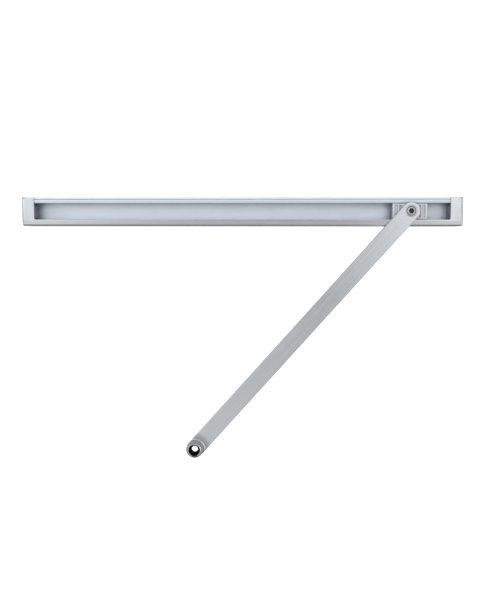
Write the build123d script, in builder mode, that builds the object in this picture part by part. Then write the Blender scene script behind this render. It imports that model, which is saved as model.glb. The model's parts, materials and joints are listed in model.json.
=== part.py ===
from build123d import *
from math import atan2, cos, degrees, radians, sin
import os

# Slide-rail arm set of an overhead door closer, in millimetres.
#
# X runs along the rail, +Y points to the wall that the rail is screwed to, and +Z is the side that
# the rail's channel and the spindle socket open to. The origin is the centre of the rail's back
# face. The slide block runs along X in the channel, and the arm turns about Z on the pivot screw.

# --- Overall sizes -------------------------------------------------------------------------------
rail_length = 443.0  # over the cover's end faces
rail_height = 21.0  # from the rail's underside to the cover's top face
arm_centres = 323.4  # from the pivot to the spindle
arm_angle = 228.4  # direction of the arm as it lies, from +X towards +Y

# --- Channel -------------------------------------------------------------------------------------
opening_inset = 6.1  # from the wall to the channel's mouth
opening_width = 16.5  # channel's mouth, between the lips
lip_overhang = 2.1  # how far each lip stands over the channel
lip_thickness = 2.5
front_wall = 3.25
floor_thickness = 2.7
rail_corner = 0.6  # chamfer of the rail's corners
back_bevel = (2.1, 0.5)  # run and drop of the bevel along the rail's and caps' back edge
groove_width = 0.6  # decorative groove beside the back bevel
groove_depth = 0.6
mouth_bevel = (1.4, 0.25)  # run and drop of the bevel beside the channel's mouth

# --- Rail fixings --------------------------------------------------------------------------------
fixing_spacing = 380.0
fixing_hole = 5.3  # for an M5 countersunk screw
fixing_head = 10.6
access_hole = 11.2  # in the front wall, for the screwdriver and later the cover's stud

# --- Cover ---------------------------------------------------------------------------------------
cover_wall = 1.1
cover_gap = 0.15  # between the cover and the rail's front, and past the rail's ends
cap_length = 12.9  # each end cap, along X
end_round = 3.5  # edge between the top and end faces
front_round = 2.0  # edge between the top and front faces
corner_round = 3.0  # upright edges between the front and end faces
crease_setback = 1.5  # from the channel's mouth to the crease on the cover's top
crease_drop = 0.4  # how far the top falls from the crease to the front
window_round = 1.5  # inner corners of the cover's cut-out
hook_reach = 3.0  # return edge under the rail
hook_gap = 0.15
relief_size = 1.5  # small corner relief at each cap's back edge

# --- Cover studs ---------------------------------------------------------------------------------
stud_gap = 0.1  # radial, in the access hole
stud_slot = 1.6
stud_lead_in = 0.4

# --- End stops -----------------------------------------------------------------------------------
stop_gap = 0.2  # between a stop and the channel's walls
core_slot = (1.5, 6.4, 4.0)  # moulding slots in the stop's face: width, height and depth
core_slot_lift = 5.5  # from the channel's floor to the slots
stop_screw = 3.5
stop_screw_head = 6.8
stop_screw_bite = 9.0  # length of the screw inside the stop
stop_screw_socket = 2.4
stop_screw_socket_depth = 1.1

# --- Slide block ---------------------------------------------------------------------------------
pivot_place = 168.7  # X of the pivot, as the set lies
block_length = 34.1
block_gap = 0.35  # between the block and the channel, below the lips
neck_gap = 0.7  # between the block's neck and the lips
block_sink = 0.4  # block's top, below the lips' top
block_corner = 0.8
pocket_frame = (2.0, 1.1)  # rim round the pockets, along X and Y
pocket_width = 3.0
pocket_bar = 1.5  # between two pockets
pocket_depth = 1.6
pockets_per_end = 2
pad_diameter = 13.6  # raised pad under the washer
pad_height = 1.3

# --- Pivot ---------------------------------------------------------------------------------------
shoulder_diameter = 5.5
thread_diameter = 5.0
head_diameter = 8.2
head_height = 2.6
head_round = 0.5
head_proud = 0.1  # screw's head above the arm's face
lobe_circle = 4.2  # six-lobe socket: circle of the lobes' centres
lobe_diameter = 1.2
socket_core = 4.2
socket_depth = 2.1
pivot_running_gap = 0.03  # radial, shoulder in bush
axial_gap = 0.3  # under the head, and between the washer and the arm
thread_run_out = 0.8  # screw's end past the nut plate
nut_side = 12.6
nut_thickness = 5.0
nut_lift = 4.6  # nut plate's underside above the block's underside
nut_gap = 0.1
washer_diameter = 13.0
washer_thickness = 1.0
washer_gap = 0.1

# --- Arm -----------------------------------------------------------------------------------------
arm_thickness = 6.0
arm_side = 1.35  # metal left on each side of the hub
arm_edge = 0.35  # chamfer along the bar's edges
bush_diameter = 11.0
bush_bowl = 9.2  # counterbore that the screw's head sits in
bush_edge = 0.3  # chamfer of the bush's rim and of the hole that it is pressed in

# --- Spindle hub ---------------------------------------------------------------------------------
hub_wall = 1.7  # round the socket
hub_proud = 2.75  # rim above the bar's face
hub_web = 2.6  # web that the spindle's screw bears on
hub_edge = 0.9
spindle_bore = 11.4
spindle_land = 2.0  # plain mouth of the socket
spindle_lead_in = 0.4
serrations = 36
serration_height = 0.55
spindle_screw_hole = 6.2
seat_reach = 2.4  # lowered round seat on the bar, from the hub to the seat's edge
seat_depth = 1.0
seat_slope = 1.2  # how much smaller the seat is at its floor, in radius
bead = (1.6, 0.5)  # raised bead on the bar beside the seat, from staking the hub: width and height
ring_groove = (0.8, 0.4)  # groove round the hub in the seat: width and depth
stake_angles = (-36.0, 2.0, 16.0)  # stake marks round the seat, from the line back to the pivot
stake_size = 1.5
stake_depth = 0.9

# --- Sizes, levels and places worked out from them ------------------------------------------------------
rail_depth = opening_inset + opening_width + lip_overhang + front_wall + cover_gap + cover_wall
hub_diameter = spindle_bore + 2 * hub_wall
arm_width = hub_diameter + 2 * arm_side
seat_diameter = hub_diameter + 2 * seat_reach
half_length = rail_length / 2
half_height = rail_height / 2
top = half_height
bottom = -half_height
lip_top = top - cover_wall
lip_under = lip_top - lip_thickness
floor = bottom + floor_thickness
mouth_back = -opening_inset
mouth_front = -(opening_inset + opening_width)
channel_back = mouth_back + lip_overhang
channel_front = mouth_front - lip_overhang
channel_mid = (mouth_back + mouth_front) / 2
channel_width = channel_back - channel_front
rail_front = -(rail_depth - cover_wall - cover_gap)
rail_half = half_length - end_round - cover_gap
stop_face = half_length - cap_length
fixing_level = (floor + lip_under) / 2

block_bottom = floor + block_gap
block_top = lip_top - block_sink
pad_top = block_top + pad_height
washer_top = pad_top + washer_thickness
arm_bottom = washer_top + axial_gap
arm_top = arm_bottom + arm_thickness
head_top = arm_top + head_proud
head_bottom = head_top - head_height
bowl_floor = head_bottom - axial_gap
nut_bottom = block_bottom + nut_lift
nut_top = nut_bottom + nut_thickness
hub_top = arm_top + hub_proud
web_top = arm_bottom + hub_web
seat_floor = arm_top - seat_depth

seat_taper = degrees(atan2(seat_slope, seat_depth))
fixing_places = (-fixing_spacing / 2, fixing_spacing / 2)
stop_screw_reach = (stop_face + rail_half) / 2
stop_screw_places = (-stop_screw_reach, stop_screw_reach)
pivot = (pivot_place, channel_mid)
arm_direction = (cos(radians(arm_angle)), sin(radians(arm_angle)))
spindle = tuple(p + arm_centres * d for p, d in zip(pivot, arm_direction))

os.makedirs("parts", exist_ok=True)


def finish(piece, name):
    """Label a piece and write it out under its name."""
    piece.part.label = name
    export_step(piece.part, f"parts/{name}.step")


def across_rail(x, y, facing):
    """Plane across Y through the fixing holes' line; facing is 1 towards the wall, -1 away from it."""
    return Plane(origin=(x, y, fixing_level), x_dir=(1, 0, 0), z_dir=(0, facing, 0))


def under_rail(x):
    """Plane on the rail's underside at the channel's middle, facing down."""
    return Plane(origin=(x, channel_mid, bottom), x_dir=(1, 0, 0), z_dir=(0, 0, -1))


def at_pivot(level):
    """Plane across the pivot's axis."""
    return Plane(origin=(*pivot, level))


def at_spindle(level):
    """Plane across the spindle's axis, with its X along the arm, away from the pivot."""
    return Plane(origin=(*spindle, level), x_dir=(*arm_direction, 0))


# --- Guide rail: lipped channel with a bevelled back band ----------------------------------------
groove_edge = -back_bevel[0]
with BuildPart() as guide_rail:
    with BuildSketch(Plane.YZ.offset(-rail_half)) as rail_section:
        with BuildLine():
            Polyline(
                (0, bottom),
                (0, lip_top - back_bevel[1]),
                (groove_edge, lip_top),
                (groove_edge - groove_width / 2, lip_top - groove_depth),
                (groove_edge - groove_width, lip_top),
                (mouth_back + mouth_bevel[0], lip_top),
                (mouth_back, lip_top - mouth_bevel[1]),
                (mouth_back, lip_under),
                (channel_back, lip_under),
                (channel_back, floor),
                (channel_front, floor),
                (channel_front, lip_under),
                (mouth_front, lip_under),
                (mouth_front, lip_top),
                (rail_front + front_round, lip_top),
                (rail_front, lip_top - front_round),
                (rail_front, bottom + cover_wall + hook_gap),
                (rail_front + hook_reach, bottom + cover_wall + hook_gap),
                (rail_front + hook_reach, bottom),
                close=True,
            )
        make_face()
        wall_corner = rail_section.vertices().group_by(Axis.Y)[0].sort_by(Axis.X)[-1]
        chamfer(wall_corner, rail_corner)
    extrude(amount=2 * rail_half)
    with Locations(*[across_rail(x, channel_back, -1).location for x in fixing_places]):
        CounterSinkHole(fixing_hole / 2, fixing_head / 2, opening_inset, counter_sink_angle=90)
    for x in fixing_places:
        with BuildSketch(across_rail(x, rail_front, 1)):
            Circle(access_hole / 2)
        extrude(amount=channel_front - rail_front, mode=Mode.SUBTRACT)
    with Locations(*[under_rail(x).location for x in stop_screw_places]):
        CounterSinkHole(stop_screw / 2, stop_screw_head / 2, 2 * floor_thickness, counter_sink_angle=90)
finish(guide_rail, "guide_rail")


# --- Front cover: rounded shell over the front lip, the front and both ends ------------------------
def cover_block(inset, section):
    """The cover's rounded block, taken in by inset on every outer face, with the given section."""
    half, depth = half_length - inset, rail_depth - inset
    with BuildPart() as block:
        with BuildSketch(Plane.YZ.offset(-half)):
            with BuildLine():
                Polyline(*section, close=True)
            make_face()
        extrude(amount=2 * half)
        fillet(block.edges().filter_by(Axis.X).sort_by(Axis.Y)[:2].sort_by(Axis.Z)[-1], front_round - inset)
        with BuildSketch(Plane.XY.offset(bottom)) as plan:
            with Locations((0, -depth / 2)):
                Rectangle(2 * half, depth)
            fillet(plan.vertices().group_by(Axis.Y)[0], corner_round - inset)
        extrude(amount=rail_height, mode=Mode.INTERSECT)
        with BuildSketch(Plane.XZ) as side:
            with Locations((0, -inset / 2)):
                Rectangle(2 * half, rail_height - inset)
            fillet(side.vertices().group_by(Axis.Y)[-1], end_round - inset)
        extrude(amount=rail_depth, mode=Mode.INTERSECT)
    return block.part


crease = mouth_front - crease_setback
outer_section = [
    (0, bottom),
    (0, top - back_bevel[1]),
    (-back_bevel[0], top),
    (crease, top),
    (-rail_depth, top - crease_drop),
    (-rail_depth, bottom),
]
inner_front = -(rail_depth - cover_wall)
inner_section = [(0, bottom), (0, lip_top), (inner_front, lip_top), (inner_front, bottom)]
with BuildPart() as front_cover:
    add(cover_block(0, outer_section))
    add(cover_block(cover_wall, inner_section), mode=Mode.SUBTRACT)
    with BuildSketch(Plane.XY.offset(lip_top)) as window:
        with Locations((0, mouth_front / 2)):
            Rectangle(2 * stop_face, -mouth_front)
        fillet(window.vertices().group_by(Axis.Y)[0], window_round)
    extrude(amount=cover_wall, mode=Mode.SUBTRACT)
    with BuildSketch(Plane.YZ.offset(-stop_face)):
        with Locations((inner_front, bottom)):
            Rectangle(hook_reach, cover_wall, align=(Align.MIN, Align.MIN))
    extrude(amount=2 * stop_face)
    with BuildSketch(Plane.XY.offset(top - 2 * cover_wall)):
        with GridLocations(rail_length - 4 * cover_wall - relief_size, 0, 2, 1):
            Rectangle(relief_size, 2 * relief_size)
    extrude(amount=2 * cover_wall, mode=Mode.SUBTRACT)
finish(front_cover, "front_cover")

# --- Cover studs: split studs from the cover's inside into the rail's access holes -----------------
stud_radius = access_hole / 2 - stud_gap
with BuildPart() as cover_studs:
    for x in fixing_places:
        with BuildSketch(across_rail(x, inner_front, 1)):
            Circle(stud_radius)
        extrude(amount=channel_front - inner_front)
    stud_ends = cover_studs.faces().group_by(Axis.Y)[-1]
    chamfer(stud_ends.edges(), stud_lead_in)
    for x in fixing_places:
        with BuildSketch(across_rail(x, rail_front, 1)):
            Rectangle(2 * stud_radius, stud_slot)
            Rectangle(stud_slot, 2 * stud_radius)
        extrude(amount=channel_front - rail_front, mode=Mode.SUBTRACT)
finish(cover_studs, "cover_studs")


# --- End stops: moulded blocks that fill the channel under the caps --------------------------------
def stop_outline(gap):
    """Corners of the channel's section, taken in by gap all round, from the floor to the caps."""
    low, high = floor, lip_under - gap
    wide = (channel_front + gap, channel_back - gap)
    narrow = (mouth_front + gap, mouth_back - gap)
    return [
        (wide[0], low), (wide[0], high), (narrow[0], high), (narrow[0], lip_top),
        (narrow[1], lip_top), (narrow[1], high), (wide[1], high), (wide[1], low),
    ]


for side, name in ((-1, "left_end_stop"), (1, "right_end_stop")):
    with BuildPart() as end_stop:
        with BuildSketch(Plane.YZ.offset(side * stop_face)):
            with BuildLine():
                Polyline(*stop_outline(stop_gap), close=True)
            make_face()
        extrude(amount=side * (rail_half - stop_face))
        with BuildSketch(Plane.YZ.offset(side * stop_face)):
            for edge, align in ((mouth_back - stop_gap, Align.MAX), (mouth_front + stop_gap, Align.MIN)):
                with Locations((edge, floor + core_slot_lift)):
                    Rectangle(*core_slot[:2], align=(align, Align.MIN))
        extrude(amount=side * core_slot[2], mode=Mode.SUBTRACT)
        with BuildSketch(Plane.XY.offset(floor)):
            with Locations((side * stop_screw_reach, channel_mid)):
                Circle(stop_screw / 2)
        extrude(amount=stop_screw_bite, mode=Mode.SUBTRACT)
    finish(end_stop, name)

with BuildPart() as end_stop_screws:
    for x in stop_screw_places:
        with BuildSketch(under_rail(x)):
            Circle(stop_screw / 2)
        extrude(amount=-(floor_thickness + stop_screw_bite))
        with BuildSketch(under_rail(x)):
            Circle(stop_screw_head / 2)
        extrude(amount=-(stop_screw_head - stop_screw) / 2, taper=45)
        with BuildSketch(under_rail(x)):
            RegularPolygon(stop_screw_socket / 2, 6, major_radius=False)
        extrude(amount=-stop_screw_socket_depth, mode=Mode.SUBTRACT)
finish(end_stop_screws, "end_stop_screws")

# --- Slide block: T-shaped moulding with pockets, a pad for the washer and a pocket for the nut ----
neck_width = opening_width - 2 * neck_gap
wing_width = channel_width - 2 * block_gap
pocket_pitch = pocket_width + pocket_bar
pocket_row = [pocket_frame[0] + pocket_width / 2 + i * pocket_pitch for i in range(pockets_per_end)]
with BuildPart() as slide_block:
    with BuildSketch(at_pivot(block_bottom)):
        Rectangle(block_length, wing_width)
    extrude(amount=lip_under - block_gap - block_bottom)
    chamfer(slide_block.edges().filter_by(Axis.Z), block_corner)
    with BuildSketch(at_pivot(block_bottom)):
        Rectangle(block_length, neck_width)
    extrude(amount=block_top - block_bottom)
    with BuildSketch(at_pivot(block_top)):
        Circle(pad_diameter / 2)
    extrude(amount=pad_height)
    with BuildSketch(at_pivot(block_top)):
        for inset in pocket_row:
            with GridLocations(block_length - 2 * inset, 0, 2, 1):
                Rectangle(pocket_width, neck_width - 2 * pocket_frame[1])
    extrude(amount=-pocket_depth, mode=Mode.SUBTRACT)
    with BuildSketch(at_pivot(block_bottom)):
        Rectangle(nut_side + 2 * nut_gap, nut_side + 2 * nut_gap)
    extrude(amount=nut_top - block_bottom, mode=Mode.SUBTRACT)
    with BuildSketch(at_pivot(nut_top)):
        Circle(shoulder_diameter / 2)
    extrude(amount=pad_top - nut_top, mode=Mode.SUBTRACT)
finish(slide_block, "slide_block")

with BuildPart() as nut_plate:
    with BuildSketch(at_pivot(nut_bottom)):
        Rectangle(nut_side, nut_side)
        Circle(thread_diameter / 2, mode=Mode.SUBTRACT)
    extrude(amount=nut_thickness)
    chamfer(nut_plate.edges().filter_by(Axis.Z).filter_by(GeomType.LINE), block_corner)
finish(nut_plate, "nut_plate")

with BuildPart() as thrust_washer:
    with BuildSketch(at_pivot(pad_top)):
        Circle(washer_diameter / 2)
        Circle(shoulder_diameter / 2 + washer_gap, mode=Mode.SUBTRACT)
    extrude(amount=washer_thickness)
finish(thrust_washer, "thrust_washer")

# --- Pivot screw: thread, shoulder and a round head with a six-lobe socket --------------------------
with BuildPart() as pivot_screw:
    with BuildSketch(at_pivot(nut_bottom - thread_run_out)):
        Circle(thread_diameter / 2)
    extrude(amount=nut_top - nut_bottom + thread_run_out)
    chamfer(pivot_screw.edges().group_by(Axis.Z)[0], thread_run_out / 2)
    with BuildSketch(at_pivot(nut_top)):
        Circle(shoulder_diameter / 2)
    extrude(amount=head_bottom - nut_top)
    with BuildSketch(at_pivot(head_bottom)):
        Circle(head_diameter / 2)
    extrude(amount=head_height)
    fillet(pivot_screw.edges().group_by(Axis.Z)[-1], head_round)
    with BuildSketch(at_pivot(head_top)):
        Circle(socket_core / 2)
        with PolarLocations(lobe_circle / 2, 6):
            Circle(lobe_diameter / 2)
    extrude(amount=-socket_depth, mode=Mode.SUBTRACT)
finish(pivot_screw, "pivot_screw")

# --- Pivot bush: pressed in the arm, with a bowl for the screw's head --------------------------------
with BuildPart() as pivot_bush:
    with BuildSketch(at_pivot(arm_bottom)):
        Circle(bush_diameter / 2)
        Circle(shoulder_diameter / 2 + pivot_running_gap, mode=Mode.SUBTRACT)
    extrude(amount=arm_thickness)
    with BuildSketch(at_pivot(arm_top)):
        Circle(bush_bowl / 2)
    extrude(amount=bowl_floor - arm_top, mode=Mode.SUBTRACT)
    chamfer(pivot_bush.edges().group_by(Axis.Z)[-1], bush_edge)
finish(pivot_bush, "pivot_bush")

# --- Arm: flat bar with round ends, a lowered round seat and stake marks round the hub ----------------
with BuildPart() as arm_bar:
    with BuildSketch(at_spindle(arm_bottom)):
        with Locations((-arm_centres / 2, 0)):
            SlotCenterToCenter(arm_centres, arm_width)
    extrude(amount=arm_thickness)
    chamfer(arm_bar.faces().filter_by(Axis.Z).edges(), arm_edge)
    with BuildSketch(at_spindle(arm_top)):
        Circle(seat_diameter / 2 + bead[0])
        with Locations((-seat_diameter / 2, 0)):
            Rectangle(seat_diameter, arm_width - 2 * arm_edge, mode=Mode.INTERSECT)
    extrude(amount=bead[1], taper=45)
    with BuildSketch(at_spindle(arm_top + bead[1])):
        Circle(seat_diameter / 2 + seat_slope * bead[1] / seat_depth)
    extrude(amount=-(seat_depth + bead[1]), taper=seat_taper, mode=Mode.SUBTRACT)
    with BuildSketch(at_spindle(seat_floor)):
        Circle(hub_diameter / 2 + ring_groove[0])
    extrude(amount=-ring_groove[1], mode=Mode.SUBTRACT)
    with BuildSketch(at_spindle(arm_bottom)):
        Circle(hub_diameter / 2)
    extrude(amount=arm_thickness, mode=Mode.SUBTRACT)
    with BuildSketch(at_spindle(arm_top)):
        for angle in stake_angles:
            with PolarLocations(seat_diameter / 2, 1, start_angle=180 + angle):
                Circle(stake_size / 2)
    extrude(amount=-stake_depth, mode=Mode.SUBTRACT)
    with BuildSketch(at_pivot(arm_bottom)):
        Circle(bush_diameter / 2)
    extrude(amount=arm_thickness, mode=Mode.SUBTRACT)
    with BuildSketch(at_pivot(arm_top)):
        Circle(bush_diameter / 2 + bush_edge)
    extrude(amount=-bush_edge, taper=45, mode=Mode.SUBTRACT)
finish(arm_bar, "arm_bar")


# --- Spindle hub: pressed in the arm, with a serrated socket and a hole for the spindle's screw -------
def serration_points():
    """Points of the socket's serrated outline, alternating between its roots and its crests."""
    root = spindle_bore / 2
    for i in range(2 * serrations):
        radius = root - serration_height * (i % 2)
        angle = radians(180 * i / serrations)
        yield (radius * cos(angle), radius * sin(angle))


with BuildPart() as spindle_hub:
    with BuildSketch(at_spindle(arm_bottom)):
        Circle(hub_diameter / 2)
    extrude(amount=hub_top - arm_bottom)
    chamfer(spindle_hub.edges().group_by(Axis.Z)[-1], hub_edge)
    with BuildSketch(at_spindle(hub_top)):
        Circle(spindle_bore / 2)
    extrude(amount=-spindle_land, mode=Mode.SUBTRACT)
    mouth = spindle_hub.edges().group_by(Axis.Z)[-1].sort_by(SortBy.RADIUS)[0]
    chamfer(mouth, spindle_lead_in)
    with BuildSketch(at_spindle(web_top)):
        with BuildLine():
            Polyline(*serration_points(), close=True)
        make_face()
    extrude(amount=hub_top - web_top, mode=Mode.SUBTRACT)
    with BuildSketch(at_spindle(arm_bottom)):
        Circle(spindle_screw_hole / 2)
    extrude(amount=hub_web, mode=Mode.SUBTRACT)
finish(spindle_hub, "spindle_hub")
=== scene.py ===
"""Looks of a slide-rail arm set for an overhead door closer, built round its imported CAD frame."""

import json
import logging
import math
from dataclasses import dataclass, field
from enum import Enum
from typing import Callable, Protocol

import bmesh
import bpy
from mathutils import Matrix, Vector


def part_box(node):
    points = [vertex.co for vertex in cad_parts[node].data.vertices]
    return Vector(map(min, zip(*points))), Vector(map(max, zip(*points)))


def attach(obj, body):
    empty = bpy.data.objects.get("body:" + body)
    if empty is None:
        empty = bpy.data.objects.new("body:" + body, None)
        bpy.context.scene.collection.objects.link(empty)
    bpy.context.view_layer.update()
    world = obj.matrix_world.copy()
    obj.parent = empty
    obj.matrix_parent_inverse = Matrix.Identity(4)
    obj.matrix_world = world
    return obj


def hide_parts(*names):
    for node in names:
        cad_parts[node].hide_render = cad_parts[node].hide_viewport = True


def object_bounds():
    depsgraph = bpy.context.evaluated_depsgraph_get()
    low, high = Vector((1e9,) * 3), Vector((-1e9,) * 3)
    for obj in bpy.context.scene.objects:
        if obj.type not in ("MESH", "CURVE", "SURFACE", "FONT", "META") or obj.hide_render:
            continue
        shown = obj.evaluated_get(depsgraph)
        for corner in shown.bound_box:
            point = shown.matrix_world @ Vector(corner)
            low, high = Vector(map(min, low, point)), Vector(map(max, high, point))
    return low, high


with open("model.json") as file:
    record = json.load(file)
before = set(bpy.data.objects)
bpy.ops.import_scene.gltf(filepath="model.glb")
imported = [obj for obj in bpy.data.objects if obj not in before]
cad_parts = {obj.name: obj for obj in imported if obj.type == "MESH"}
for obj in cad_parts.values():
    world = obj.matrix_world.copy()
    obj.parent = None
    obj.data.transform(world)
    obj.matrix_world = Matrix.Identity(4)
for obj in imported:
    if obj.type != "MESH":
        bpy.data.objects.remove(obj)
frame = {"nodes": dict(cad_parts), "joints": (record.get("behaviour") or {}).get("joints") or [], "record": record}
cad_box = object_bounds()

log = logging.getLogger("arm_set")
SHARP_ANGLE = math.radians(35)
MERGE_GAP = 2e-6
BROAD_LINES = (9.0, 700.0, 700.0)
FINE_LINES = (60.0, 4200.0, 4200.0)
GRAIN_RADIUS = 6.0
SMUDGED, SPECKLED = 0.7, 0.35
WORN_METAL = (0.92, 0.92, 0.92)
# Fade widths of painted shade: the recess shade held within an axis, then the round shade patches.
RECESS_SHADE_FADE, SHADE_RING_FADE = 0.3, 0.5
GRAIN_HEIGHT, SKIN_HEIGHT = 0.05, 0.03
WHITE = (1.0, 1.0, 1.0)
Colour = tuple[float, float, float]


class Body(Enum):
    """The CAD bodies that pieces ride on."""

    RAIL = "rail"
    BLOCK = "slide_block"
    ARM = "arm"


class Grain(Enum):
    """Which way a metal's finishing lines run."""

    ALONG_RAIL = "along_rail"
    ALONG_ARM = "along_arm"
    ROUND_PIVOT = "round_pivot"
    ROUND_SPINDLE = "round_spindle"


def mm(value: float) -> float:
    """Millimetres in metres."""
    return value / 1000


def shade(colour: Colour, factor: float) -> Colour:
    """A colour made darker or lighter by a factor, held at white."""
    return tuple(min(1.0, c * factor) for c in colour)


def mount_place(name: str) -> Vector:
    """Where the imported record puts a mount, in the row frame."""
    return Vector(next(m["pos_m"] for m in frame["record"]["mounts"] if m["name"] == name))


def joint_place(name: str) -> Vector:
    """A point on a joint's axis, in the row frame."""
    return Vector(next(j["pos_m"] for j in frame["joints"] if j["name"] == name))


PIVOT = joint_place("arm_pivot").to_2d()
SPINDLE = mount_place("spindle_socket").to_2d()
ARM_TURN = math.atan2(*(SPINDLE - PIVOT).yx)


# --- Shader node groups --------------------------------------------------------------------------


class Web:
    """A node tree with short ways to add nodes and join them."""

    def __init__(self, tree: bpy.types.NodeTree) -> None:
        """Take over a material's, world's or group's node tree."""
        self.tree = tree

    def add(self, kind: str, **settings: object) -> bpy.types.Node:
        """Add a node.

        Args:
            kind: The node's type, without ShaderNode in front.
            **settings: Properties to set on it.

        Returns:
            The node.
        """
        node = self.tree.nodes.new(kind if kind.startswith("Node") else "ShaderNode" + kind)
        for key, value in settings.items():
            setattr(node, key, value)
        return node

    def join(self, source: object, target: bpy.types.NodeSocket) -> None:
        """Link a socket to another, or set the target's value if the source is a plain value.

        Args:
            source: An output socket, a number or a vector.
            target: The input socket.
        """
        if isinstance(source, bpy.types.NodeSocket):
            self.tree.links.new(source, target)
        elif target.type == "RGBA" and len(source) == 3:
            target.default_value = (*source, 1.0)
        else:
            target.default_value = source

    def maths(self, operation: str, *values: object, clamp: bool = False) -> bpy.types.NodeSocket:
        """Add a maths node.

        Args:
            operation: The node's operation.
            *values: Sockets or numbers for its inputs, in order.
            clamp: Whether the result is held within 0 to 1.

        Returns:
            Its output.
        """
        node = self.add("Math", operation=operation, use_clamp=clamp)
        for value, target in zip(values, node.inputs):
            self.join(value, target)
        return node.outputs[0]

    def vector(self, operation: str, *values: object, output: str = "Vector") -> bpy.types.NodeSocket:
        """Add a vector maths node.

        Args:
            operation: The node's operation.
            *values: Sockets or vectors for its inputs, in order.
            output: The output to return.

        Returns:
            That output.
        """
        node = self.add("VectorMath", operation=operation)
        for value, target in zip(values, node.inputs):
            self.join(value, target)
        return node.outputs[output]

    def remap(
        self, value: object, low: float, high: float, first: float, last: float, interpolation: str = "LINEAR"
    ) -> bpy.types.NodeSocket:
        """Map a value from low..high to first..last, held at the ends.

        Args:
            value: The value's socket.
            low: The value that becomes first.
            high: The value that becomes last.
            first: The result at low.
            last: The result at high.
            interpolation: The node's interpolation.

        Returns:
            The mapped value's socket.
        """
        node = self.add("MapRange", interpolation_type=interpolation, clamp=True)
        for item, target in zip((value, low, high, first, last), node.inputs):
            self.join(item, target)
        return node.outputs[0]

    def smooth(
        self, value: object, low: float, high: float, first: float, last: float
    ) -> bpy.types.NodeSocket:
        """Map a value as remap does, but with soft ends."""
        return self.remap(value, low, high, first, last, "SMOOTHSTEP")

    def mix(self, factor: object, first: object, second: object) -> bpy.types.NodeSocket:
        """Mix two colours.

        Args:
            factor: How much of the second there is, from 0 to 1.
            first: The colour at 0.
            second: The colour at 1.

        Returns:
            The mixed colour's socket.
        """
        node = self.add("Mix", data_type="RGBA")
        sockets = {s.identifier: s for s in (*node.inputs, *node.outputs)}
        self.join(factor, sockets["Factor_Float"])
        self.join(first, sockets["A_Color"])
        self.join(second, sockets["B_Color"])
        return sockets["Result_Color"]

    def noise(
        self, place: object, scale: float, detail: float = 3.0, rough: float = 0.5
    ) -> bpy.types.NodeSocket:
        """Add a noise texture.

        Args:
            place: The coordinates' socket.
            scale: The noise's scale.
            detail: Its detail.
            rough: Its roughness.

        Returns:
            Its value's socket.
        """
        node = self.add("TexNoise")
        for key, value in (("Vector", place), ("Scale", scale), ("Detail", detail), ("Roughness", rough)):
            self.join(value, node.inputs[key])
        return node.outputs[0]

    def group(self, name: str, **values: object) -> bpy.types.NodeOutputs:
        """Place a shared group.

        Args:
            name: The group's key in GROUPS.
            **values: Values or sockets for its inputs.

        Returns:
            Its outputs.
        """
        node = self.add("Group", node_tree=GROUPS[name])
        for key, value in values.items():
            self.join(value, node.inputs[key])
        return node.outputs


def make_group(
    name: str, inputs: dict[str, str], outputs: dict[str, str], fill: Callable
) -> bpy.types.NodeTree:
    """Make a shader node group with named sockets.

    Args:
        name: The group's name.
        inputs: Socket names and types of its inputs.
        outputs: Socket names and types of its outputs.
        fill: Builds the inside, given the web, the input sockets and the output sockets.

    Returns:
        The group.
    """
    group = bpy.data.node_groups.new(name, "ShaderNodeTree")
    for sockets, in_out in ((inputs, "INPUT"), (outputs, "OUTPUT")):
        for socket, kind in sockets.items():
            group.interface.new_socket(socket, in_out=in_out, socket_type="NodeSocket" + kind)
    web = Web(group)
    start, end = web.add("NodeGroupInput"), web.add("NodeGroupOutput")
    fill(web, start.outputs, end.inputs)
    return group


def fill_grain(web: Web, given: bpy.types.NodeOutputs, out: bpy.types.NodeInputs) -> None:
    """Brushed lines: long thin noise, broad and fine, in coordinates whose X follows the lines.

    Args:
        web: The group's web.
        given: Its input sockets.
        out: Its output sockets.
    """
    broad = web.noise(web.vector("MULTIPLY", given["Vector"], BROAD_LINES), 1.0, 4.0, 0.6)
    fine = web.noise(web.vector("MULTIPLY", given["Vector"], FINE_LINES), 1.0, 3.0, 0.7)
    both = web.maths("ADD", web.maths("MULTIPLY", broad, 0.6), web.maths("MULTIPLY", fine, 0.4))
    web.join(web.remap(both, 0.34, 0.66, 0.0, 1.0), out["Lines"])


def fill_marks(web: Web, given: bpy.types.NodeOutputs, out: bpy.types.NodeInputs) -> None:
    """Handling marks: cloudy smudges, and a few tiny specks of dust in patches.

    Args:
        web: The group's web.
        given: Its input sockets.
        out: Its output sockets.
    """
    smudge = web.noise(given["Vector"], 38.0, 5.0, 0.62)
    web.join(web.remap(smudge, 0.42, 0.72, 0.0, 1.0), out["Smudge"])
    dots = web.remap(web.noise(given["Vector"], 1300.0, 1.0, 0.4), 0.735, 0.775, 0.0, 1.0)
    patch = web.remap(web.noise(given["Vector"], 90.0, 2.0), 0.45, 0.62, 0.0, 1.0)
    web.join(web.maths("MULTIPLY", dots, patch), out["Specks"])


def fill_edge(web: Web, given: bpy.types.NodeOutputs, out: bpy.types.NodeInputs) -> None:
    """Edges: a normal rounded over the given radius, and a mask that is 1 on sharp corners.

    Args:
        web: The group's web.
        given: Its input sockets.
        out: Its output sockets.
    """
    bevel = web.add("Bevel", samples=4)
    web.join(given["Radius"], bevel.inputs["Radius"])
    plain = web.add("NewGeometry").outputs["Normal"]
    likeness = web.vector("DOT_PRODUCT", bevel.outputs[0], plain, output="Value")
    web.join(web.remap(likeness, 0.985, 0.82, 0.0, 1.0), out["Edge"])
    web.join(bevel.outputs[0], out["Normal"])


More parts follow.
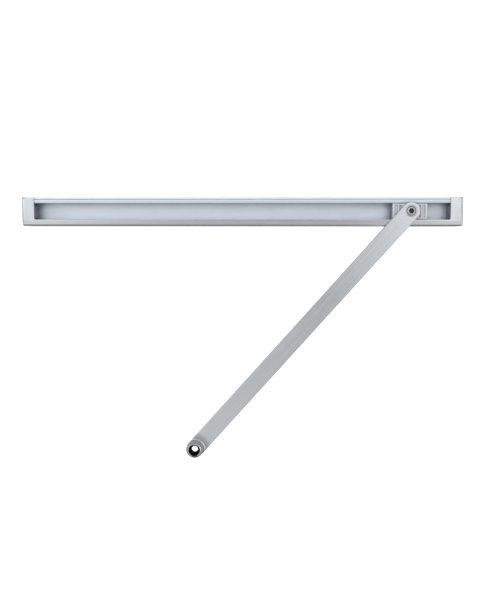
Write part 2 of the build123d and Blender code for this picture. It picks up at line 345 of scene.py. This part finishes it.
def fill_recess(web: Web, given: bpy.types.NodeOutputs, out: bpy.types.NodeInputs) -> None:
    """Recesses: a mask from 0 in the open to 1 where a spot is closed in, where painted shade is laid.

    Args:
        web: The group's web.
        given: Its input sockets.
        out: Its output sockets.
    """
    closed = web.add("AmbientOcclusion", samples=8)
    web.join(given["Distance"], closed.inputs["Distance"])
    web.join(web.smooth(closed.outputs["AO"], given["Closed"], given["Open"], 1.0, 0.0), out["Depth"])


GROUPS = {
    "grain": make_group("brushed_grain", {"Vector": "Vector"}, {"Lines": "Float"}, fill_grain),
    "marks": make_group(
        "handling_marks", {"Vector": "Vector"}, {"Smudge": "Float", "Specks": "Float"}, fill_marks
    ),
    # Edges: real wear on metal, painted highlight on plastic.
    "edge": make_group("edge_wear_and_highlight", {"Radius": "Float"}, {"Edge": "Float", "Normal": "Vector"}, fill_edge),
    "recess": make_group(
        "recess_painted_shade", {"Distance": "Float", "Closed": "Float", "Open": "Float"}, {"Depth": "Float"},
        fill_recess,
    ),
}


# --- Finishes ------------------------------------------------------------------------------------


def axis_distance(web: Web, axis: Vector) -> bpy.types.NodeSocket:
    """Measure the distance from an upright axis.

    Args:
        web: The material's web.
        axis: The axis's X and Y.

    Returns:
        The distance's socket, in metres.
    """
    middle = web.vector("SUBTRACT", web.add("TexCoord").outputs["Object"], (*axis, 0.0))
    return web.vector("LENGTH", web.vector("MULTIPLY", middle, (1.0, 1.0, 0.0)), output="Value")


def grain_vector(web: Web, grain: Grain) -> bpy.types.NodeSocket:
    """Object coordinates turned so that X follows the metal's lines.

    Args:
        web: The material's web.
        grain: Which way the lines run.

    Returns:
        The vector, in metres along and across the lines.
    """
    place = web.add("TexCoord").outputs["Object"]
    if grain in (Grain.ALONG_RAIL, Grain.ALONG_ARM):
        turned = web.add("Mapping")
        web.join(place, turned.inputs["Vector"])
        turned.inputs["Rotation"].default_value[2] = -ARM_TURN if grain is Grain.ALONG_ARM else 0.0
        return turned.outputs[0]
    centre = PIVOT if grain is Grain.ROUND_PIVOT else SPINDLE
    middle = web.vector("SUBTRACT", place, (*centre, 0.0))
    radius = axis_distance(web, centre)
    parts = web.add("SeparateXYZ")
    web.join(middle, parts.inputs[0])
    swept = web.maths("MULTIPLY", web.maths("ARCTAN2", parts.outputs[1], parts.outputs[0]), mm(GRAIN_RADIUS))
    joined = web.add("CombineXYZ")
    for item, target in zip((swept, radius, parts.outputs[2]), joined.inputs):
        web.join(item, target)
    return joined.outputs[0]


class Finish(Protocol):
    """Anything that can build a material."""

    def material(self) -> bpy.types.Material:
        """Build the material."""


@dataclass(frozen=True)
class RecessShade:
    """Painted shade in a finish's recesses, darkening where walls close in: how much, how near the walls,
    what counts as closed and open, and the axis and radius that it keeps within, if any."""

    amount: float
    reach: float
    closed: float = 0.3
    open: float = 0.8
    colour: Colour = (0.03, 0.03, 0.032)
    axis: Vector | None = None
    radius: float = 0.0

    def mask(self, web: Web) -> bpy.types.NodeSocket:
        """Find where the painted shade lies.

        Args:
            web: The material's web.

        Returns:
            The mask's socket, from 0 to the dirt's amount.
        """
        depth = web.group("recess", Distance=mm(self.reach), Closed=self.closed, Open=self.open)["Depth"]
        if self.axis:
            away = axis_distance(web, self.axis)
            within = web.smooth(away, mm(self.radius), mm(self.radius + RECESS_SHADE_FADE), 1.0, 0.0)
            depth = web.maths("MULTIPLY", depth, within)
        return web.maths("MULTIPLY", depth, self.amount)


@dataclass(frozen=True)
class ShadeRing:
    """A soft round patch of painted shade about an upright axis, full to the inner radius and gone at
    the outer one, with a clean middle if it has one.
    """

    axis: Vector
    inner: float
    outer: float
    amount: float
    colour: Colour
    clean: float = 0.0

    def over(self, web: Web, base: bpy.types.NodeSocket) -> bpy.types.NodeSocket:
        """Lay the painted shade over a base colour.

        Args:
            web: The material's web.
            base: The base colour's socket.

        Returns:
            The shaded colour's socket.
        """
        away = axis_distance(web, self.axis)
        mask = web.smooth(away, mm(self.inner), mm(self.outer), self.amount, 0.0)
        if self.clean:
            outside = web.smooth(away, mm(self.clean - SHADE_RING_FADE), mm(self.clean), 0.0, 1.0)
            mask = web.maths("MULTIPLY", mask, outside)
        return web.mix(mask, base, self.colour)


@dataclass(frozen=True)
class Metal:
    """A brushed, turned or anodised metal."""

    name: str
    colour: Colour
    roughness: float
    grain: Grain
    metallic: float = 1.0
    lines: float = 0.05
    tone: float = 0.05
    relief: float = 0.08
    wear: float = 0.12
    edge_radius: float = 0.12
    marks: float = 0.06
    # Painted shade: recess darkening, and a round shade patch if any.
    recess_shade: RecessShade = RecessShade(0.5, 1.0)
    shade_ring: ShadeRing | None = None

    def material(self) -> bpy.types.Material:
        """Build the material.

        Returns:
            The finished material.
        """
        made = bpy.data.materials.new(self.name)
        made.use_nodes = True
        web = Web(made.node_tree)
        shader = web.tree.nodes["Principled BSDF"]
        shader.inputs["Metallic"].default_value = self.metallic
        place = web.add("TexCoord").outputs["Object"]
        lines = web.group("grain", Vector=grain_vector(web, self.grain))["Lines"]
        marks = web.group("marks", Vector=place)
        edge = web.group("edge", Radius=mm(self.edge_radius))
        smudge = web.maths("MULTIPLY", marks["Smudge"], self.marks)
        worn = web.maths("MULTIPLY", edge["Edge"], self.wear)
        # Painted shade: recesses are darkened towards the shade colour and made rougher.
        recess_shade = self.recess_shade.mask(web)
        base = web.mix(lines, shade(self.colour, 1 - self.tone), shade(self.colour, 1 + self.tone))
        base = web.mix(smudge, base, shade(self.colour, SMUDGED))
        base = web.mix(worn, base, WORN_METAL)
        base = web.mix(web.maths("MULTIPLY", marks["Specks"], 0.5), base, shade(self.colour, SPECKLED))
        # Painted shade: a darker round patch about an axis.
        if self.shade_ring:
            base = self.shade_ring.over(web, base)
        # Lay the painted recess shade over the base colour.
        base = web.mix(recess_shade, base, self.recess_shade.colour)
        web.join(base, shader.inputs["Base Color"])
        rough = web.remap(lines, 0.0, 1.0, self.roughness - self.lines, self.roughness + self.lines)
        rough = web.maths("ADD", rough, web.maths("ADD", smudge, web.maths("MULTIPLY", recess_shade, 0.4)))
        rough = web.maths("SUBTRACT", rough, web.maths("MULTIPLY", worn, 0.3), clamp=True)
        web.join(rough, shader.inputs["Roughness"])
        bump = web.add("Bump")
        bump.inputs["Strength"].default_value = self.relief
        bump.inputs["Distance"].default_value = mm(GRAIN_HEIGHT)
        web.join(lines, bump.inputs["Height"])
        web.join(edge["Normal"], bump.inputs["Normal"])
        web.join(bump.outputs[0], shader.inputs["Normal"])
        return made


@dataclass(frozen=True)
class Plastic:
    """A moulded plastic with a fine matt skin."""

    name: str
    colour: Colour
    roughness: float
    skin: float = 0.12
    edge_radius: float = 0.15
    marks: float = 0.1
    # Painted shade: recess darkening, and shade painted on the faces that look along the rail.
    recess_shade: RecessShade = RecessShade(0.4, 2.0)
    shaded_ends: float = 0.0

    def material(self) -> bpy.types.Material:
        """Build the material.

        Returns:
            The finished material.
        """
        made = bpy.data.materials.new(self.name)
        made.use_nodes = True
        web = Web(made.node_tree)
        shader = web.tree.nodes["Principled BSDF"]
        place = web.add("TexCoord").outputs["Object"]
        marks = web.group("marks", Vector=place)
        edge = web.group("edge", Radius=mm(self.edge_radius))
        grime = web.maths("MULTIPLY", marks["Smudge"], self.marks)
        base = web.mix(web.noise(place, 120.0, 4.0, 0.55), shade(self.colour, 0.96), shade(self.colour, 1.03))
        base = web.mix(grime, base, shade(self.colour, SMUDGED))
        # Painted highlight: sharp edges lightened.
        base = web.mix(web.maths("MULTIPLY", edge["Edge"], 0.15), base, shade(self.colour, 1.3))
        # Painted shade: recesses darkened towards the shade colour.
        base = web.mix(self.recess_shade.mask(web), base, self.recess_shade.colour)
        # Painted shade: faces that look along the rail are darkened towards the shade colour.
        if self.shaded_ends:
            normal = web.add("NewGeometry").outputs["Normal"]
            facing = web.vector("DOT_PRODUCT", normal, (1.0, 0.0, 0.0), output="Value")
            ends = web.smooth(web.maths("ABSOLUTE", facing), 0.6, 0.95, 0.0, self.shaded_ends)
            base = web.mix(ends, base, self.recess_shade.colour)
        web.join(base, shader.inputs["Base Color"])
        skin = web.noise(place, 5200.0, 2.0, 0.5)
        rough = web.remap(skin, 0.3, 0.7, self.roughness - 0.05, self.roughness + 0.05)
        web.join(web.maths("ADD", rough, web.maths("MULTIPLY", grime, 0.5)), shader.inputs["Roughness"])
        bump = web.add("Bump")
        bump.inputs["Strength"].default_value = self.skin
        bump.inputs["Distance"].default_value = mm(SKIN_HEIGHT)
        web.join(skin, bump.inputs["Height"])
        web.join(edge["Normal"], bump.inputs["Normal"])
        web.join(bump.outputs[0], shader.inputs["Normal"])
        return made


FINISHES: dict[str, Finish] = {
    "guide_rail": Metal(
        "anodised_aluminium", (0.82, 0.865, 0.92), 0.42, Grain.ALONG_RAIL, metallic=0.8, tone=0.02,
        # painted shade in the channel: under the lips, near the end stops and beside the block
        relief=0.04, recess_shade=RecessShade(0.6, 8.0, 0.2, 0.88, (0.1, 0.115, 0.135)),
    ),
    "front_cover": Metal("satin_cover", (0.64, 0.648, 0.66), 0.15, Grain.ALONG_RAIL, tone=0.02, relief=0.05),
    "arm_bar": Metal(
        "brushed_arm", (0.705, 0.722, 0.745), 0.2, Grain.ALONG_ARM, tone=0.04, relief=0.12,
        # painted shade in the arm's crevices round the hub
        recess_shade=RecessShade(0.55, 2.2, 0.35, 0.8, (0.06, 0.06, 0.063)),
        # painted shade: a darker ring on the arm's face round the hub, for a face that mirrors darker there
        shade_ring=ShadeRing(SPINDLE, 12.0, 20.0, 0.75, (0.33, 0.35, 0.37), clean=11.3),
    ),
    "spindle_hub": Metal(
        "turned_hub", (0.6, 0.61, 0.63), 0.28, Grain.ROUND_SPINDLE, tone=0.08, relief=0.15,
        # painted shade that blackens the serrated socket
        recess_shade=RecessShade(0.98, 12.0, 0.7, 0.96, (0.008, 0.006, 0.005), SPINDLE, 5.8),
        # painted shade, tinted brown, on the near side of the hub's rim and bore wall
        shade_ring=ShadeRing(SPINDLE + Vector((0.0005, -0.0085)), 2.5, 5.5, 0.85, (0.1, 0.088, 0.072)),
    ),
    "pivot_screw": Metal(
        "turned_screw", (0.6, 0.6, 0.595), 0.24, Grain.ROUND_PIVOT, tone=0.05, relief=0.12,
        # painted shade that blackens the six-lobe socket
        recess_shade=RecessShade(0.96, 8.0, 0.5, 0.94, (0.02, 0.02, 0.02), PIVOT, 3.1),
    ),
    "pivot_bush": Metal(
        "turned_bush", (0.7, 0.7, 0.705), 0.3, Grain.ROUND_PIVOT, tone=0.06, relief=0.15,
        # painted shade in the ring round the screw head
        recess_shade=RecessShade(0.5, 3.0, 0.3, 0.8),
    ),
    "thrust_washer": Metal("rolled_brass", (0.6, 0.49, 0.27), 0.35, Grain.ROUND_PIVOT),
    "plated_steel": Metal("zinc_plated_steel", (0.6, 0.6, 0.6), 0.35, Grain.ALONG_RAIL),
    "slide_block": Plastic(
        "white_moulding", (0.87, 0.905, 0.94), 0.4,
        # painted shade beside the channel walls and on the end faces
        recess_shade=RecessShade(0.35, 6.0, 0.15, 0.5, (0.09, 0.1, 0.115)), shaded_ends=0.8,
    ),
    "end_stops": Plastic(
        # near-black painted shade on the stops' walls in the channel
        "grey_moulding", (0.18, 0.2, 0.23), 0.45, recess_shade=RecessShade(0.97, 4.0, 0.2, 0.5, (0.004, 0.004, 0.005)),
    ),
    "cover_studs": Plastic("black_moulding", (0.02, 0.02, 0.022), 0.45),
}


# --- Making pieces -------------------------------------------------------------------------------


def to_mesh(bm: bmesh.types.BMesh, name: str) -> bpy.types.Mesh:
    """Close a bmesh into a mesh, with its doubles merged and its faces outwards.

    Args:
        bm: The shape, which is freed.
        name: The mesh's name.

    Returns:
        The mesh.
    """
    bmesh.ops.remove_doubles(bm, verts=bm.verts, dist=MERGE_GAP / 4)
    bmesh.ops.recalc_face_normals(bm, faces=bm.faces)
    mesh = bpy.data.meshes.new(name)
    bm.to_mesh(mesh)
    bm.free()
    return mesh


def cad_copy(node: str) -> bmesh.types.BMesh:
    """Copy a CAD node's mesh, merged and with its flat faces whole.

    Args:
        node: The node's name.

    Returns:
        The copy.
    """
    bm = bmesh.new()
    bm.from_mesh(frame["nodes"][node].data)
    bmesh.ops.remove_doubles(bm, verts=bm.verts, dist=MERGE_GAP)
    bmesh.ops.dissolve_limit(bm, angle_limit=math.radians(0.5), verts=bm.verts, edges=bm.edges)
    return bm


def round_edges(bm: bmesh.types.BMesh, width: float, segments: int = 2) -> None:
    """Round every edge that is sharper than SHARP_ANGLE.

    Args:
        bm: The shape.
        width: How far the rounding reaches on each side, in millimetres.
        segments: Faces across each rounding.
    """
    sharp = [e for e in bm.edges if len(e.link_faces) == 2 and e.calc_face_angle(0.0) > SHARP_ANGLE]
    bmesh.ops.bevel(
        bm, geom=sharp, offset=mm(width), offset_type="OFFSET", affect="EDGES", segments=segments,
        profile=0.5, material=-1, clamp_overlap=False,
    )


def lathe(
    profile: list[tuple[float, float]], centre: Vector, soft: float, steps: int = 96
) -> bmesh.types.BMesh:
    """Turn a profile about an upright axis, with its corners rounded first.

    Args:
        profile: Radius and height of each corner, in millimetres; an open one starts and ends on the axis.
        centre: The axis's X and Y.
        soft: How far each corner's rounding reaches, in millimetres.
        steps: Faces round the axis.

    Returns:
        The turned shape.
    """
    bm = bmesh.new()
    corners = [bm.verts.new((mm(r), 0.0, mm(z))) for r, z in profile]
    for first, second in zip(corners, corners[1:]):
        bm.edges.new((first, second))
    if profile[0][0] > 0:
        bm.edges.new((corners[-1], corners[0]))
    inner = [v for v in corners if len(v.link_edges) == 2]
    bmesh.ops.bevel(
        bm, geom=inner, offset=mm(soft), offset_type="OFFSET", affect="VERTICES", segments=3,
        profile=0.5, material=-1, clamp_overlap=True,
    )
    bmesh.ops.spin(
        bm, geom=[*bm.verts, *bm.edges], cent=(0, 0, 0), axis=(0, 0, 1), dvec=(0, 0, 0),
        angle=math.tau, steps=steps, use_merge=True, use_duplicate=False,
    )
    bmesh.ops.remove_doubles(bm, verts=bm.verts, dist=MERGE_GAP / 4)
    bmesh.ops.translate(bm, verts=bm.verts, vec=(*centre, 0.0))
    return bm


@dataclass(frozen=True)
class Piece:
    """What a visible piece is called, moves with, takes its finish from and stands for."""

    name: str
    body: Body
    slot: str
    nodes: tuple[str, ...]

    def place(self, bm: bmesh.types.BMesh, material: bpy.types.Material) -> bpy.types.Object:
        """Put the finished shape in the scene.

        Args:
            bm: The shape, in the row frame.
            material: Its material.

        Returns:
            The object, riding on its body.
        """
        mesh = to_mesh(bm, self.name)
        mesh.materials.append(material)
        mesh.shade_smooth()
        mesh.set_sharp_from_angle(angle=SHARP_ANGLE)
        made = bpy.data.objects.new(self.name, mesh)
        bpy.context.scene.collection.objects.link(made)
        evened = made.modifiers.new("even_faces", "WEIGHTED_NORMAL")
        evened.keep_sharp = True
        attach(made, self.body.value)
        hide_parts(*self.nodes)
        log.info("%s: %d faces, rides on %s", self.name, len(mesh.polygons), self.body.value)
        return made


def dress(node: str, material: bpy.types.Material) -> None:
    """Give a CAD node that stays as it is its material.

    Args:
        node: The node's name.
        material: The material.
    """
    slots = frame["nodes"][node].data.materials
    slots.clear()
    slots.append(material)
    log.info("%s: CAD node dressed", node)


Looks = dict[str, bpy.types.Material]


@dataclass
class RailSet:
    """Guide rail with its cover, end stops, studs and screws."""

    rail_edge: float = 0.12
    cover_edge: float = 0.2
    stop_edge: float = 0.2

    def build(self, looks: Looks) -> None:
        """Make and dress the rail's pieces.

        Args:
            looks: The materials, by finish.
        """
        softened = (
            ("guide_rail", "rail_extrusion", "guide_rail", self.rail_edge),
            ("front_cover", "cover_shell", "front_cover", self.cover_edge),
            ("left_end_stop", "stop_left", "end_stops", self.stop_edge),
            ("right_end_stop", "stop_right", "end_stops", self.stop_edge),
        )
        for node, name, slot, edge in softened:
            bm = cad_copy(node)
            round_edges(bm, edge)
            Piece(name, Body.RAIL, slot, (node,)).place(bm, looks[slot])
        dress("cover_studs", looks["cover_studs"])
        dress("end_stop_screws", looks["plated_steel"])


@dataclass
class Slide:
    """Slide block with its nut plate, washer and pivot screw."""

    block_edge: float = 0.2
    washer_bore: float = 2.85
    washer_edge: float = 0.12
    thread_radius: float = 2.5
    shoulder_radius: float = 2.75
    head_radius: float = 4.1
    head_height: float = 2.6
    head_edge: float = 0.35
    socket_radius: float = 2.6
    socket_lobe: float = 0.12
    socket_depth: float = 2.1
    socket_cone: float = 0.35
    steps: int = 96

    def screw(self) -> bmesh.types.BMesh:
        """Turn the pivot screw and press the six-lobe socket into its head.

        Returns:
            The screw.
        """
        low, high = (corner.z * 1000 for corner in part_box("pivot_screw"))
        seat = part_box("nut_plate")[1].z * 1000
        head = high - self.head_height
        floor = high - self.socket_depth
        bm = lathe(
            [
                (0.0, low), (self.thread_radius - 0.4, low), (self.thread_radius, low + 0.4),
                (self.thread_radius, seat), (self.shoulder_radius, seat), (self.shoulder_radius, head),
                (self.head_radius, head), (self.head_radius, high - self.head_edge),
                (self.head_radius - self.head_edge, high), (self.socket_radius, high),
                (self.socket_radius, floor), (0.5, floor - self.socket_cone), (0.0, floor - self.socket_cone),
            ],
            PIVOT, 0.1, self.steps,
        )
        space = Matrix.Translation((*-PIVOT, 0))
        for vert in bm.verts:
            away = vert.co.to_2d() - PIVOT
            if vert.co.z > mm(floor - 0.15) and mm(2.0) < away.length < mm(self.socket_radius + 0.12):
                turn = math.atan2(away.y, away.x)
                stretch = 1 + self.socket_lobe * math.cos(6 * turn)
                bmesh.ops.scale(bm, verts=[vert], vec=(stretch, stretch, 1.0), space=space)
        return bm

    def washer(self) -> bmesh.types.BMesh:
        """Turn the thrust washer.

        Returns:
            The washer.
        """
        low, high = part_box("thrust_washer")
        radius, bottom, top = (high.x - low.x) * 500, low.z * 1000, high.z * 1000
        profile = [(self.washer_bore, bottom), (radius, bottom), (radius, top), (self.washer_bore, top)]
        return lathe(profile, PIVOT, self.washer_edge, self.steps)

    def build(self, looks: Looks) -> None:
        """Make and dress the slide's pieces.

        Args:
            looks: The materials, by finish.
        """
        block = cad_copy("slide_block")
        round_edges(block, self.block_edge)
        shapes = (
            ("block_moulding", "slide_block", block),
            ("washer_ring", "thrust_washer", self.washer()),
            ("screw_turned", "pivot_screw", self.screw()),
        )
        for name, node, bm in shapes:
            Piece(name, Body.BLOCK, node, (node,)).place(bm, looks[node])
        dress("nut_plate", looks["plated_steel"])


@dataclass
class Arm:
    """Flat arm with its pivot bush and spindle hub."""

    bar_edge: float = 0.12
    bush_radius: float = 5.5
    bush_bore: float = 2.78
    bowl_radius: float = 4.6
    bowl_floor: float = 14.8
    bush_edge: float = 0.2
    hub_radius: float = 7.4
    hub_edge: float = 0.9
    socket_radius: float = 5.7
    socket_land: float = 2.0
    lead_in: float = 0.4
    web: float = 2.6
    screw_hole: float = 3.1
    serrations: int = 36
    serration_height: float = 0.55
    steps: int = 96

    def bush(self) -> bmesh.types.BMesh:
        """Turn the pivot bush, with the bowl that the screw's head sits in.

        Returns:
            The bush.
        """
        bottom, top = (corner.z * 1000 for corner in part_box("pivot_bush"))
        profile = [
            (self.bush_bore, bottom), (self.bush_radius, bottom), (self.bush_radius, top - self.bush_edge),
            (self.bush_radius - self.bush_edge, top), (self.bowl_radius + self.bush_edge, top),
            (self.bowl_radius, top - self.bush_edge), (self.bowl_radius, self.bowl_floor),
            (self.bush_bore, self.bowl_floor),
        ]
        return lathe(profile, PIVOT, 0.1, self.steps)

    def hub(self) -> bmesh.types.BMesh:
        """Turn the spindle hub and draw in the crests of its serrated socket.

        Returns:
            The hub.
        """
        bottom, top = (corner.z * 1000 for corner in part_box("spindle_hub"))
        web_top, land = bottom + self.web, top - self.socket_land
        profile = [
            (self.screw_hole, bottom), (self.hub_radius, bottom), (self.hub_radius, top - self.hub_edge),
            (self.hub_radius - self.hub_edge, top), (self.socket_radius + self.lead_in, top),
            (self.socket_radius, top - self.lead_in), (self.socket_radius, land),
            (self.socket_radius, land - 0.3), (self.socket_radius, web_top), (self.screw_hole, web_top),
        ]
        bm = lathe(profile, SPINDLE, 0.08, 4 * self.serrations)
        crest = 1 - self.serration_height / self.socket_radius
        space = Matrix.Translation((*-SPINDLE, 0))
        for vert in bm.verts:
            away = vert.co.to_2d() - SPINDLE
            between = mm(self.screw_hole + 1) < away.length < mm(self.socket_radius + 0.01)
            step = round(math.atan2(*away.yx) / math.tau * 4 * self.serrations)
            if between and vert.co.z < mm(land - 0.25) and step % 4 == 0:
                bmesh.ops.scale(bm, verts=[vert], vec=(crest, crest, 1.0), space=space)
        return bm

    def build(self, looks: Looks) -> None:
        """Make and dress the arm's pieces.

        Args:
            looks: The materials, by finish.
        """
        bar = cad_copy("arm_bar")
        round_edges(bar, self.bar_edge)
        shapes = (
            ("arm_flat", "arm_bar", bar),
            ("bush_turned", "pivot_bush", self.bush()),
            ("hub_turned", "spindle_hub", self.hub()),
        )
        for name, node, bm in shapes:
            Piece(name, Body.ARM, node, (node,)).place(bm, looks[node])


# --- Studio --------------------------------------------------------------------------------------


@dataclass(frozen=True)
class Patch:
    """A round patch of the light tent that is dimmer or brighter than the rest."""

    towards: tuple[float, float, float]
    inner: float
    outer: float
    level: float


@dataclass
class Studio:
    """Floor, light and camera."""

    camera_place: Vector = field(default_factory=lambda: Vector((0.02989, -0.04108, 0.7746)))
    camera_turn: tuple[float, float, float] = (4.65978, -2.24150, -0.07235)
    lens: float = 45.6
    sensor: float = 36.0
    floor_size: float = 60.0
    floor_white: float = 0.95
    floor_glow: float = 0.8
    floor_seen_in_metal: float = 0.45
    floor_glow_in_metal: float = 0.1
    light: float = 1.18
    horizon: float = 0.35
    cool: Colour = (0.965, 1.0, 1.03)
    near_side: float = 0.31
    patches: tuple[Patch, ...] = (
        Patch((0.01, -0.02, 1.0), 1.5, 5.0, 0.56),
        Patch((-0.01, -0.02, 1.0), 7.0, 18.0, 0.56),
        Patch((0.076, -0.083, 1.0), 0.8, 4.0, 0.7),
        Patch((0.285, 0.04, 0.95), 4.0, 9.0, 1.22),
        Patch((-0.03, -0.25, 0.97), 4.0, 12.0, 1.12),
        Patch((0.68, 0.02, 0.73), 13.0, 22.0, 0.12),
        Patch((0.0, 1.0, 0.2), 20.0, 50.0, 0.85),
        Patch((1.0, 0.0, 0.15), 15.0, 45.0, 2.9),
        Patch((-1.0, 0.0, 0.15), 15.0, 45.0, 2.0),
    )

    def floor(self) -> None:
        """Lay the pale floor under the set, dimmer where the metal mirrors it."""
        bm = bmesh.new()
        bmesh.ops.create_grid(bm, x_segments=1, y_segments=1, size=self.floor_size / 2)
        bmesh.ops.translate(bm, verts=bm.verts, vec=(0, 0, cad_box[0][2]))
        mesh = to_mesh(bm, "floor")
        made = bpy.data.materials.new("pale_floor")
        made.use_nodes = True
        web = Web(made.node_tree)
        shader = web.tree.nodes["Principled BSDF"]
        seen = web.add("LightPath").outputs["Is Camera Ray"]
        base = web.mix(seen, (self.floor_seen_in_metal,) * 3, (self.floor_white,) * 3)
        web.join(base, shader.inputs["Base Color"])
        glow = web.remap(seen, 0.0, 1.0, self.floor_glow_in_metal, self.floor_glow)
        web.join(glow, shader.inputs["Emission Strength"])
        shader.inputs["Emission Color"].default_value = (*WHITE, 1.0)
        shader.inputs["Roughness"].default_value = 0.9
        shader.inputs["Specular IOR Level"].default_value = 0.0
        mesh.materials.append(made)
        floor = bpy.data.objects.new("floor", mesh)
        bpy.context.scene.collection.objects.link(floor)

    def tent(self) -> None:
        """Light the set from all round, dimmer at the horizon and where the camera looks through."""
        world = bpy.data.worlds.new("light_tent")
        world.use_nodes = True
        bpy.context.scene.world = world
        web = Web(world.node_tree)
        background = web.tree.nodes["Background"]
        towards = web.vector("NORMALIZE", web.add("TexCoord").outputs["Generated"])
        height = web.vector("DOT_PRODUCT", towards, (0.0, 0.0, 1.0), output="Value")
        level = web.smooth(height, 0.05, 0.75, self.light * self.horizon, self.light)
        back = web.vector("DOT_PRODUCT", towards, (0.0, 1.0, 0.0), output="Value")
        level = web.maths("MULTIPLY", level, web.smooth(back, -0.6, 0.1, self.near_side, 1.0))
        for patch in self.patches:
            centre = Vector(patch.towards).normalized()
            near = web.vector("DOT_PRODUCT", towards, centre, output="Value")
            angle = web.maths("ARCCOSINE", web.maths("MINIMUM", near, 1.0))
            edge = web.smooth(angle, math.radians(patch.inner), math.radians(patch.outer), patch.level, 1.0)
            level = web.maths("MULTIPLY", level, edge)
        tint = web.smooth(level, 0.4 * self.light, self.light, 0.0, 1.0)
        seen = web.add("LightPath").outputs["Is Camera Ray"]
        tint = web.maths("MULTIPLY", tint, web.maths("SUBTRACT", 1.0, seen))
        web.join(web.mix(tint, WHITE, self.cool), background.inputs["Color"])
        web.join(web.maths("MAXIMUM", level, seen), background.inputs["Strength"])

    def camera(self) -> None:
        """Set the camera at its viewing angle."""
        data = bpy.data.cameras.new("camera")
        data.lens, data.sensor_width = self.lens, self.sensor
        data.clip_start, data.clip_end = 0.01, 50.0
        camera = bpy.data.objects.new("camera", data)
        camera.location = self.camera_place
        pitch, yaw, roll = (math.radians(a) for a in self.camera_turn)
        facing = Matrix.Rotation(roll, 3, "Z") @ Matrix.Rotation(pitch, 3, "X") @ Matrix.Rotation(yaw, 3, "Y")
        camera.rotation_euler = facing.transposed().to_euler()
        bpy.context.scene.collection.objects.link(camera)
        bpy.context.scene.camera = camera

    def build(self) -> None:
        """Set up the whole studio."""
        self.camera()
        self.floor()
        self.tent()
        bpy.context.scene.view_settings.view_transform = "Standard"


def main() -> None:
    """Set up the studio, then make and dress the set, piece by piece."""
    logging.basicConfig(level=logging.INFO, format="%(name)s: %(message)s")
    Studio().build()
    looks = {key: finish.material() for key, finish in FINISHES.items()}
    for assembly in (RailSet(), Slide(), Arm()):
        assembly.build(looks)
        log.info("%s built", type(assembly).__name__)


if __name__ == "__main__":
    main()
